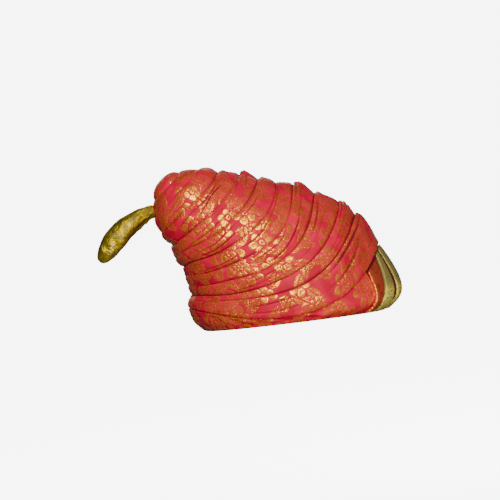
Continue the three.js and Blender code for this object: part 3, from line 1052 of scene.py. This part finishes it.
# %% Horn
HORN = MM * np.array([
    # x, z, half depth, half width, seam
    (-91.5, 137.5, 6.4, 6.4, 0),
    (-99, 138, 6.9, 7.0, 1.5),
    (-111, 135, 8.2, 8.4, 4.5),
    (-123, 129, 10.0, 9.6, 1.5),
    (-135, 120, 11.6, 10.6, 0),
    (-145, 109, 11.8, 10.8, 0),
    (-153, 98.5, 10.2, 9.8, 0),
    (-158, 91.5, 6.8, 7.0, 0),
    (-159.5, 89.2, 4.0, 4.2, 0),
    (-160, 88.4, 0.5, 0.5, 0),
])
HORN_STEPS, HORN_ROUND = 110, 64
HORN_PRESSURE = 4.0
HORN_EXTRA_CLOTH = 0.03
HORN_FRAMES = 20
HORN_MOST_MOVE = 0.7 * MM
PINNED_ROWS = 8
RUFFLE_LONG, PUCKER_LONG = 9 * MM, 12 * MM  # waves along the seam
SEAM_SWAY, SEAM_WIDE = 0.08, 0.2  # radians
HORN_BELLY, SEAM_PUCKER, HORN_CRUMPLE = 0.27, 0.12, 0.03
HORN_CLOTH_RADIUS = 9 * MM  # of the horn's cloth, unrolled


def horn_grid():
    """Rows along the horn by a smoothed table, each an oval in the plane across its path."""
    at = np.linspace(0, len(HORN) - 1, HORN_STEPS)
    rows = np.stack([np.interp(at, np.arange(len(HORN)), HORN[:, k]) for k in range(5)], axis=-1)
    for _ in range(20):
        rows[1:-1] = (rows[:-2] + 2 * rows[1:-1] + rows[2:]) / 4
    x, z, deep, wide, seam = rows.T[..., None]
    ahead = np.gradient(rows[:, :2], axis=0)
    ahead /= np.linalg.norm(ahead, axis=1, keepdims=True)
    around = np.linspace(0, 2 * np.pi, HORN_ROUND, endpoint=False)[None, :]
    path = np.cumsum(np.linalg.norm(np.diff(rows[:, :2], axis=0, prepend=rows[:1, :2]), axis=1))[:, None]
    ruffle = np.sin(2 * np.pi * path / RUFFLE_LONG)
    pinch = np.exp(-(((np.angle(np.exp(1j * around)) - SEAM_SWAY * ruffle) / SEAM_WIDE) ** 2))
    belly = 1 + HORN_BELLY * np.clip(np.cos(around), 0, 1) * np.sin(np.pi * path / path[-1]) ** 2
    under = deep * np.cos(around) * belly
    under = under + seam * pinch * (1 + SEAM_PUCKER * np.sin(2 * np.pi * path / PUCKER_LONG))
    swell = 1 + HORN_CRUMPLE * crumple(path, around * wide, 31)
    side = np.stack([-ahead[:, 1:2] * under, ahead[:, 0:1] * under], axis=-1) * swell[..., None]
    points = np.stack([x + side[..., 0], wide * np.sin(around) * swell, z + side[..., 1]], axis=-1)
    uv = np.stack(np.broadcast_arrays(path, around * HORN_CLOTH_RADIUS), axis=-1)
    last = np.stack([path, np.full_like(path, 2 * np.pi * HORN_CLOTH_RADIUS)], axis=-1)
    return points, np.concatenate([uv, last], axis=1)


def inflate(piece, pinned_from):
    """Simulates the horn as cloth blown up from inside, and keeps each point's move within its ring."""
    count = len(piece.data.vertices)
    before = np.empty(count * 3)
    piece.data.vertices.foreach_get("co", before)
    before = before.reshape(-1, 3)
    pin = piece.vertex_groups.new(name="pin")
    pin.add(np.flatnonzero(before[:, 0] > pinned_from).tolist(), 1.0, "REPLACE")
    cloth = piece.modifiers.new("stuffing", "CLOTH")
    cloth.settings.use_pressure = True
    cloth.settings.uniform_pressure_force = HORN_PRESSURE
    cloth.settings.shrink_min = -HORN_EXTRA_CLOTH
    cloth.settings.effector_weights.gravity = 0
    cloth.settings.vertex_group_mass = "pin"
    for frame_number in range(1, HORN_FRAMES + 1):
        bpy.context.scene.frame_set(frame_number)
    stuffed = piece.evaluated_get(bpy.context.evaluated_depsgraph_get()).data
    after = np.empty(count * 3)
    stuffed.vertices.foreach_get("co", after)
    piece.modifiers.remove(cloth)
    piece.vertex_groups.remove(pin)
    bpy.context.scene.frame_set(1)
    rings = (after.reshape(-1, 3) - before)[1:-1].reshape(HORN_STEPS, HORN_ROUND, 3)
    puckers = rings - rings.mean(axis=1, keepdims=True)
    length = np.linalg.norm(puckers, axis=-1, keepdims=True)
    puckers *= np.tanh(length / HORN_MOST_MOVE) * HORN_MOST_MOVE / np.maximum(length, 1e-9)
    before[1:-1] += puckers.reshape(-1, 3)
    piece.data.vertices.foreach_set("co", before.ravel())
    piece.data.update()
    print("stuffing moved the horn's cloth by up to", round(float(length.max()) / MM, 2), "mm before the cap")


points, uv = horn_grid()
points = close_ends(points)
uv = np.concatenate([uv[:1], uv, uv[-1:]])
horn = grid_mesh("padded_horn", points, uv, horn_cloth, close_columns=True)
merge_poles(horn)
inflate(horn, points[PINNED_ROWS, :, 0].mean())
dress(horn, "horn")
print("horn:", len(horn.data.polygons), "faces")

# %% [markdown]
# A pale studio sweep: a floor that curves up into a wall behind. Like the sky, it is white to the camera
# and only pale to the cloth, which would lose its folds in so much light.

# %% Floor
SWEEP_HALF, SWEEP_BACK, SWEEP_HIGH = 6.0, 3.0, 4.0
along = np.linspace(0, 1, 60)
sweep_y = np.interp(along, [0, 0.5, 1], [-6.0, SWEEP_BACK, SWEEP_BACK + 1.0])
sweep_z = SWEEP_HIGH * np.clip((along - 0.45) / 0.55, 0, 1) ** 2.2
sweep_x = np.linspace(-SWEEP_HALF, SWEEP_HALF, 3)
points = np.stack(np.broadcast_arrays(sweep_x[None, :], sweep_y[:, None], sweep_z[:, None]), axis=-1)
paper = bpy.data.materials.new("pale paper")
paper.use_nodes = True
open_trees.append(paper.node_tree)
shader = paper.node_tree.nodes["Principled BSDF"].inputs
shader["Base Color"].default_value = (0.30, 0.30, 0.29, 1.0)
shader["Roughness"].default_value = 0.8
shader["Emission Color"].default_value = (1.0, 1.0, 1.0, 1.0)
feed(shader["Emission Strength"], glow_for_camera(PAPER_GLOW, 0.0))
floor = grid_mesh("floor", points, np.zeros((60, 3, 2)), paper)
